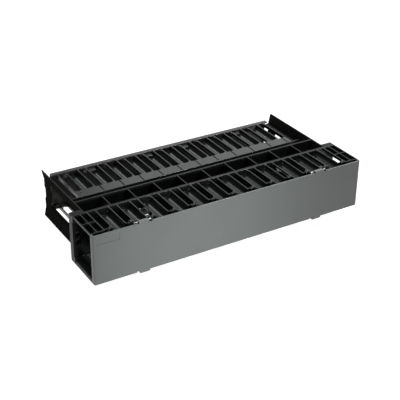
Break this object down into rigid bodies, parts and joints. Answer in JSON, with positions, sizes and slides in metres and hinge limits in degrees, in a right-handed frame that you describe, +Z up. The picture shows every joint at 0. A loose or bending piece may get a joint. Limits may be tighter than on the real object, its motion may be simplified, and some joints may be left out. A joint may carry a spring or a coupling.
{
  "type": "horizontal cable manager",
  "caption": "Horizontal rack cable manager with slotted finger ducts front and rear, a wide front cover on hinge rods and two windows in its mounting panel.",
  "frame": {"origin": "middle of the rack hole pattern, on the rear face of the two ears", "axes": "+X to the right along the rack, +Y to the rear, +Z up"},
  "size_m": [0.4826, 0.2303, 0.0878],
  "materials": {
    "frame_plastic": "satin",
    "cover_plastic": "satin",
    "rod_steel": "bright"
  },
  "bodies": {
    "manager": {"mounting_panel": "frame_plastic", "front_comb_upper": "frame_plastic", "front_comb_lower": "frame_plastic", "crate_upper": "frame_plastic", "crate_lower": "frame_plastic", "side_frame_left": "frame_plastic", "side_frame_right": "frame_plastic", "rear_comb_upper": "frame_plastic", "rear_comb_lower": "frame_plastic", "rear_cover": "cover_plastic", "hinge_rod_upper_left": "rod_steel", "hinge_rod_upper_right": "rod_steel", "hinge_rod_lower_left": "rod_steel", "hinge_rod_lower_right": "rod_steel"},
    "front_cover": {"front_cover": "cover_plastic"}
  },
  "joints": [
    {"name": "front_cover_hinge", "type": "hinge", "parent": "manager", "child": "front_cover", "pos_m": [0, -0.076, -0.041], "axis": [1, 0, 0], "range_deg": [0, 110]}
  ]
}
